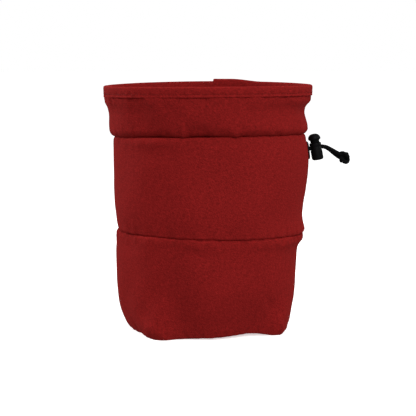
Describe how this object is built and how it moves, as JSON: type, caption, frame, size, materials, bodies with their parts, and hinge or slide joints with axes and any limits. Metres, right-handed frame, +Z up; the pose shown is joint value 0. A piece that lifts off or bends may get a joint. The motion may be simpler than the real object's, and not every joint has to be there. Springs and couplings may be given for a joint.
{
  "type": "climbing chalk bag",
  "caption": "Round fabric chalk bag with a stiffened rim and sewn panels, a drawcord with a sprung lock at its side and a belt loop at its back.",
  "frame": {"origin": "on the floor, under the middle of the bag's outline", "axes": "+Z up, -Y out of the front, +X to the side where the drawcord comes out"},
  "size_m": [0.159, 0.1261, 0.1611],
  "materials": {
    "red_fabric": "matte woven",
    "black_webbing": "woven webbing",
    "black_cord": "braided",
    "black_plastic": "satin"
  },
  "bodies": {
    "bag": {"lower_panel": "red_fabric", "middle_panel": "red_fabric", "collar": "red_fabric", "rim_band": "red_fabric", "base_panel": "red_fabric", "belt_loop": "black_webbing", "cord_eyelet": "black_plastic", "drawcord_upper": "black_cord", "drawcord_lower": "black_cord", "cord_knot": "black_cord", "lock_barrel": "black_plastic"},
    "button": {"lock_button": "black_plastic"}
  },
  "joints": [
    {"name": "button_press", "type": "slide", "parent": "bag", "child": "button", "axis": [0.1822, 0, -0.9833], "range_m": [0, 0.0018], "stiffness_N_per_m": 500, "springref_m": -0.005}
  ]
}
